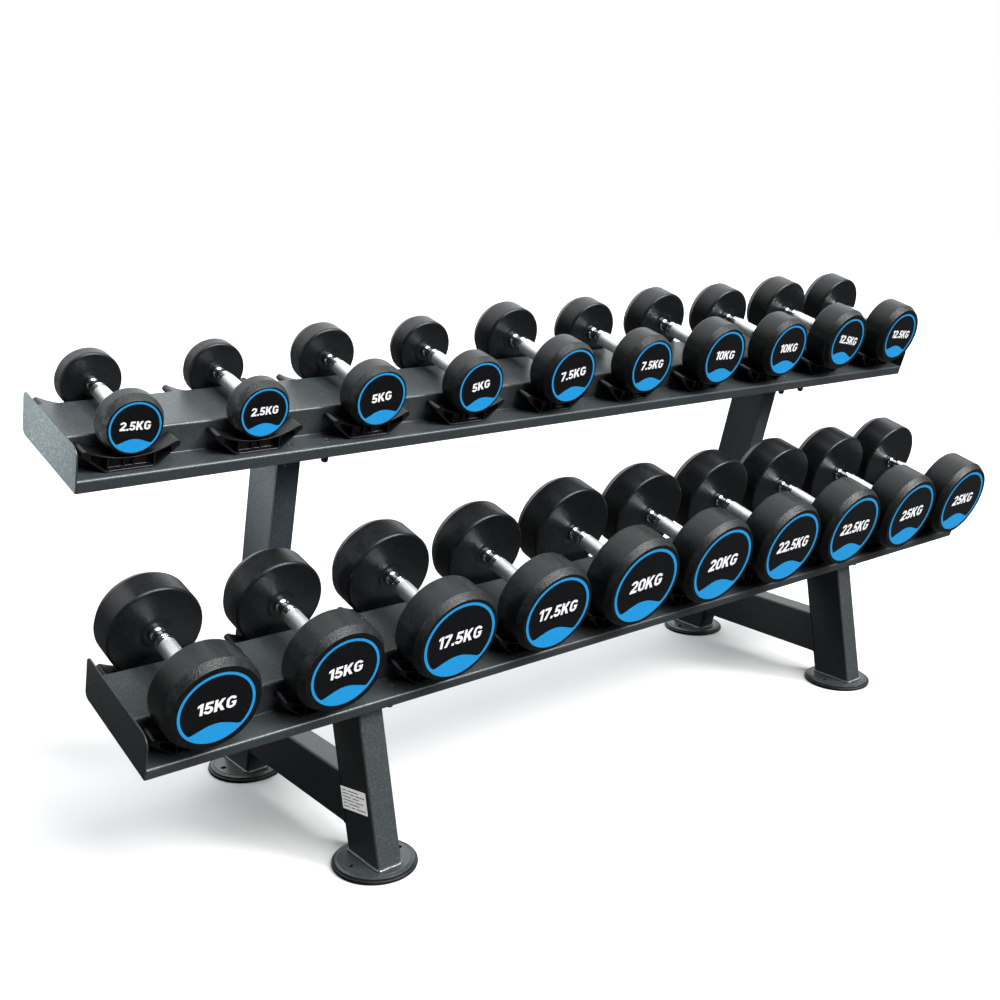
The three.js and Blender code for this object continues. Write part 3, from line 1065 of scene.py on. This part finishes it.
def black_field(ring):
    """The outline inside the ring, whose lower edge is a wave over the blue field.

    Its sizes are in ring radii, and its lower corners are turned down by an angle in degrees.
    """
    inner, corner, turn = 0.928, 0.09, 41
    hump, fullness = -0.46, 0.6
    seat = inner - corner
    x = seat * math.cos(math.radians(turn))
    y = -seat * math.sin(math.radians(turn))
    low = y - corner
    right = arc((x, y), corner, -90, -turn, 6)
    top = arc((0, 0), inner, -turn, 180 + turn, 96)[1:-1]
    left = mirrored(right)
    wave = []
    for k in range(1, 24):
        t = -1 + k / 12
        height = ((1 + math.cos(math.pi * t)) / 2) ** fullness
        wave.append(Vector((x * t, low + (hump - low) * height)))
    return [p * ring for p in right + top + left + wave]


def blue_print(ring):
    """The ring and the blue field."""
    return [[arc((0, 0), ring, 0, 360, 120)[:-1], black_field(ring)]]


def glyphs():
    """Outlines of bold characters one unit high: the width of each, and its loops."""
    def points(*pairs):
        return [Vector(p) for p in pairs]

    one = points((0.18, 0), (0.38, 0), (0.38, 1), (0.22, 1), (0, 0.86), (0, 0.66), (0.18, 0.77))
    seven = points((0, 1), (0.58, 1), (0.58, 0.83), (0.29, 0), (0.07, 0), (0.36, 0.81), (0, 0.81))
    dot = points((0, 0), (0.2, 0), (0.2, 0.2), (0, 0.2))
    k = points((0, 0), (0.2, 0), (0.2, 0.29), (0.285, 0.4), (0.47, 0), (0.71, 0), (0.43, 0.56), (0.69, 1),
               (0.455, 1), (0.2, 0.61), (0.2, 1), (0, 1))
    zero = [[p + Vector((0.3, 0.5)) for p in rounded_box(0.6 - 2 * w, 1 - 2 * w, 0.29 - w, 10)]
            for w in (0, 0.19)]
    two = [
        *arc((0.3, 0.69), 0.31, 172, -38, 18),
        *points((0.30, 0.19), (0.6, 0.19), (0.6, 0), (0, 0), (0, 0.17)),
        *arc((0.3, 0.69), 0.115, -48, 172, 12),
    ]
    five = [
        *points((0.08, 1), (0.03, 0.43), (0.20, 0.43)),
        *arc((0.28, 0.32), 0.125, 120, -165, 16),
        *arc((0.28, 0.32), 0.32, -165, 100, 20),
        *points((0.245, 0.81), (0.56, 0.81), (0.56, 1)),
    ]
    g = [
        *arc((0.34, 0.66), 0.34, 18, 180, 14),
        *arc((0.34, 0.34), 0.34, 180, 335, 14),
        *points((0.68, 0.54), (0.36, 0.54), (0.36, 0.37), (0.485, 0.37)),
        *arc((0.34, 0.34), 0.145, -15, -180, 10),
        *arc((0.34, 0.66), 0.145, 180, 18, 10),
    ]
    return {
        "0": (0.60, zero),
        "1": (0.38, [one]),
        "2": (0.60, [two]),
        "5": (0.60, [five]),
        "7": (0.58, [seven]),
        ".": (0.20, [dot]),
        "K": (0.71, [k]),
        "G": (0.68, [g]),
    }


GLYPHS = glyphs()


def white_print(ring, text, width):
    """The loops of each character of a line, centred across, with a slight slant."""
    gap, slant = 0.08, 0.04
    full = sum(GLYPHS[c][0] for c in text) + gap * (len(text) - 1)
    scale = width * ring / full
    start = -full / 2
    line = []
    for c in text:
        advance, loops = GLYPHS[c]
        line.append([
            [Vector((
                (start + p.x + slant * (p.y - 0.5)) * scale,
                (TEXT_RISE + (p.y - 0.5) * TEXT_HEIGHT) * ring,
            )) for p in loop]
            for loop in loops
        ])
        start += advance + gap
    return line


def handle_mesh(name, length, grip):
    """A chrome handle: at each head a collar, a neck and three rings, and a knurled middle."""
    around, diamonds = 144, 36
    pitch = 2 * math.pi * grip / diamonds
    neck = 0.70 * grip
    sunk, collar, shoulder = 0.003, 0.009, 0.0238  # places from the head, along the handle
    collar_edge, bulge = grip - 0.0046, 0.0026
    first_ring, ring_step, ring_width, ring_wall = 0.0290, 0.0050, 0.0010, 0.0001
    groove = grip - 0.0009
    knurl_depth, knurl_from = 0.0004, 0.0404
    corners = [(-sunk, 0, 0), (-sunk, collar_edge, 0)]
    for k in range(9):
        corners.append((collar * k / 8, collar_edge + bulge * math.sin(math.pi * k / 8) ** 0.6, 0))
    corners += [
        (collar + 0.0005, neck, 0.0004),
        (shoulder, neck, 0.0012),
        (shoulder + 0.0010, grip, 0.0007),
    ]
    for k in range(3):
        start = first_ring + ring_step * k
        end = start + ring_width
        corners += [
            (start, grip, 0.0006),
            (start + ring_wall, groove, 0),
            (end - ring_wall, groove, 0),
            (end, grip, 0.0006 if k < 2 else 0),
        ]
    corners.append((knurl_from, 0, 0))
    profile = rounded(corners, 3)[:-1]

    knurl_start = profile[-1].x
    span = length - 2 * knurl_start
    rows = 4 * round(span / pitch)
    shape = Shape()
    loops, finishes = [], []

    def ring(y, radii):
        points = []
        for k, radius in enumerate(radii):
            angle = 2 * math.pi * k / len(radii)
            points.append(Vector((radius * math.cos(angle), y, radius * math.sin(angle))))
        loops.append(shape.loop(points))

    def wave(steps):
        return 1 - abs(2 * ((steps / 4) % 1) - 1)

    for p in profile:
        ring(p.x - length / 2, [p.y] * (around if p.y > 0 else 1))
        finishes.append(0)
    for row in range(rows + 1):
        radii = [grip + knurl_depth * (min(wave(k + row), wave(k - row)) - 0.5) for k in range(around)]
        ring(knurl_start - length / 2 + span * row / rows, radii)
        finishes.append(1)
    for p in reversed(profile):
        ring(length / 2 - p.x, [p.y] * (around if p.y > 0 else 1))
        finishes.append(0)
    for k, (a, b) in enumerate(zip(loops, loops[1:])):
        shape.skin(a, b, finishes[k] and finishes[k + 1])
    return shape.mesh(name, [CHROME, KNURL], 28)


def build_dumbbells():
    handles = {}
    for name, pairs in PAIRS.items():
        length = TRAYS[name]["handle"]
        for weight, ring, text_width, chamfer, grip, rolls in pairs:
            node = node_name(weight, "a")
            pair = node[:-2]
            radius = radius_of(node)
            half_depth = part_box(node)[1].y - middle_of(node).y
            outer = (half_depth - (radius - HEAD_CHAMFER) * math.sin(TILT)) / math.cos(TILT)
            thickness = outer - length / 2
            head = head_mesh(f"{pair}_head", radius, thickness, chamfer, ring)
            discs = disc_mesh(f"{pair}_discs", outer, ring)
            blue = print_mesh(f"{pair}_blue", outer, blue_print(ring), BLUE)
            text = white_print(ring, f"{weight}KG", text_width)
            white = print_mesh(f"{pair}_white", outer, text, WHITE)
            if (length, grip) not in handles:
                handles[length, grip] = handle_mesh(f"handle_{len(handles) + 1}", length, grip)
            for copy, roll in zip("ab", rolls):
                body = node_name(weight, copy)
                rest = Matrix.Translation(middle_of(body)) @ Matrix.Rotation(TILT, 4, "X")
                rest = rest @ Matrix.Rotation(math.radians(-roll), 4, "Y")
                inner = Matrix.Translation((0, length / 2, 0))
                show(f"{body}_rear_head", head, body, rest @ inner, [body])
                show(f"{body}_front_head", head, body, rest @ HALF_TURN @ inner)
                show(f"{body}_handle", handles[length, grip], body, rest)
                show(f"{body}_discs", discs, body, rest)
                show(f"{body}_blue_prints", blue, body, rest)
                show(f"{body}_white_prints", white, body, rest)


# ---- Camera, light and floor ----

CAMERA_PLACE = (-1.7548, -1.8308, 1.1600)
CAMERA_TURNS = (39.859, -14.439, 0.917)  # azimuth, elevation and roll, in degrees
CAMERA_LENS = 44.14  # mm, on a sensor 36 mm wide

# Each sun: the direction that it shines from, its strength, and its width in degrees.
SUNS = {
    "key": ((0.30, -0.78, 0.55), 3.3, 45),
    "strip": ((0.46, -0.68, 0.57), 2.4, 14),
    "high": ((0.00, -0.56, 0.83), 1.7, 24),
}
# The sky is brightest in this direction and dark away from it, as cosines and strengths.
SKY_MIDDLE = Vector((0.22, 0.52, 0.82)).normalized()
SKY_DARK_AT, SKY_BRIGHT_AT = 0.30, 0.95
SKY_DARK, SKY_BRIGHT = 0.02, 2.1
SKY_COLOR = (0.96, 1.0, 1.0, 1)

EDGE_PLACE, EDGE_TARGET = (-2.0, 0.45, 0.95), (-1.1, 0.07, 0.82)
EDGE_POWER, EDGE_SIZE = 6.0, 0.25
EDGE_SPREAD = 38  # degrees

FLOOR_HALF = 30
FLOOR_SEEN, FLOOR_UNSEEN = 0.70, 0.045  # greys for the camera and for other rays


def build_camera():
    azimuth, elevation, roll = (math.radians(a) for a in CAMERA_TURNS)
    forward = Vector((
        math.sin(azimuth) * math.cos(elevation),
        math.cos(azimuth) * math.cos(elevation),
        math.sin(elevation),
    ))
    level = Vector((math.cos(azimuth), -math.sin(azimuth), 0))
    upwards = level.cross(forward)
    right = level * math.cos(roll) + upwards * math.sin(roll)
    up = upwards * math.cos(roll) - level * math.sin(roll)
    data = bpy.data.cameras.new("camera")
    data.lens = CAMERA_LENS
    data.sensor_width = 36
    camera = linked("camera", data)
    turned = Matrix((right, up, -forward)).transposed().to_4x4()
    camera.matrix_world = Matrix.Translation(CAMERA_PLACE) @ turned
    bpy.context.scene.camera = camera


def add_light(name, kind, strength, towards, place=(0, 0, 0)):
    light = linked(name, bpy.data.lights.new(name, kind))
    light.data.energy = strength
    light.location = place
    light.rotation_euler = Vector(towards).to_track_quat("Z", "Y").to_euler()
    return light


def camera_switch(tree, other, seen):
    """Mixes two shaders: other for light that travels in the scene, seen for the picture."""
    path = tree.nodes.new("ShaderNodeLightPath")
    mix = tree.nodes.new("ShaderNodeMixShader")
    tree.links.new(path.outputs["Is Camera Ray"], mix.inputs["Fac"])
    tree.links.new(other.outputs[0], mix.inputs[1])
    tree.links.new(seen.outputs[0], mix.inputs[2])
    return mix


def build_lights():
    """Three suns, and a narrow lamp on the left end of the upper tray."""
    for name, (towards, strength, width) in SUNS.items():
        add_light(name, "SUN", strength, towards).data.angle = math.radians(width)
    towards = Vector(EDGE_PLACE) - Vector(EDGE_TARGET)
    edge = add_light("edge", "AREA", EDGE_POWER, towards, EDGE_PLACE)
    edge.data.size = EDGE_SIZE
    edge.data.spread = math.radians(EDGE_SPREAD)
    edge.visible_glossy = False  # it would show as bright patches on the heads


def build_world():
    """White to the camera. To the object, a sky that is bright on one side."""
    world = bpy.data.worlds.new("studio")
    world.use_nodes = True
    bpy.context.scene.world = world
    tree = world.node_tree
    sky = tree.nodes["Background"]
    sky.inputs["Color"].default_value = SKY_COLOR
    direction = tree.nodes.new("ShaderNodeTexCoord").outputs["Generated"]
    cosine = tree.nodes.new("ShaderNodeVectorMath")
    cosine.operation = "DOT_PRODUCT"
    cosine.inputs[1].default_value = SKY_MIDDLE
    tree.links.new(direction, cosine.inputs[0])
    rise = map_range(tree, cosine.outputs["Value"], SKY_DARK_AT, SKY_BRIGHT_AT, SKY_DARK, SKY_BRIGHT)
    rise.interpolation_type = "SMOOTHSTEP"
    tree.links.new(rise.outputs["Result"], sky.inputs["Strength"])
    white = tree.nodes.new("ShaderNodeBackground")
    white.inputs["Color"].default_value = (1, 1, 1, 1)
    mix = camera_switch(tree, sky, white)
    tree.links.new(mix.outputs[0], tree.nodes["World Output"].inputs["Surface"])


def build_floor():
    """A floor that is pale to the camera and dark to the object."""
    half = FLOOR_HALF
    data = bpy.data.meshes.new("floor")
    corners = [(-half, -half, 0), (half, -half, 0), (half, half, 0), (-half, half, 0)]
    data.from_pydata(corners, [], [(0, 1, 2, 3)])
    paint = bpy.data.materials.new("floor_paint")
    paint.use_nodes = True
    tree = paint.node_tree
    tree.nodes.remove(tree.nodes["Principled BSDF"])
    shaders = []
    for grey in (FLOOR_UNSEEN, FLOOR_SEEN):
        shader = tree.nodes.new("ShaderNodeBsdfDiffuse")
        shader.inputs["Color"].default_value = (grey, grey, grey, 1)
        shaders.append(shader)
    mix = camera_switch(tree, *shaders)
    tree.links.new(mix.outputs[0], tree.nodes["Material Output"].inputs["Surface"])
    data.materials.append(paint)
    linked("floor", data)


bpy.context.scene.view_settings.view_transform = "Standard"
build_camera()
build_lights()
build_world()
build_floor()
build_trays()
build_saddles()
build_side_frames()
build_label()
build_dumbbells()
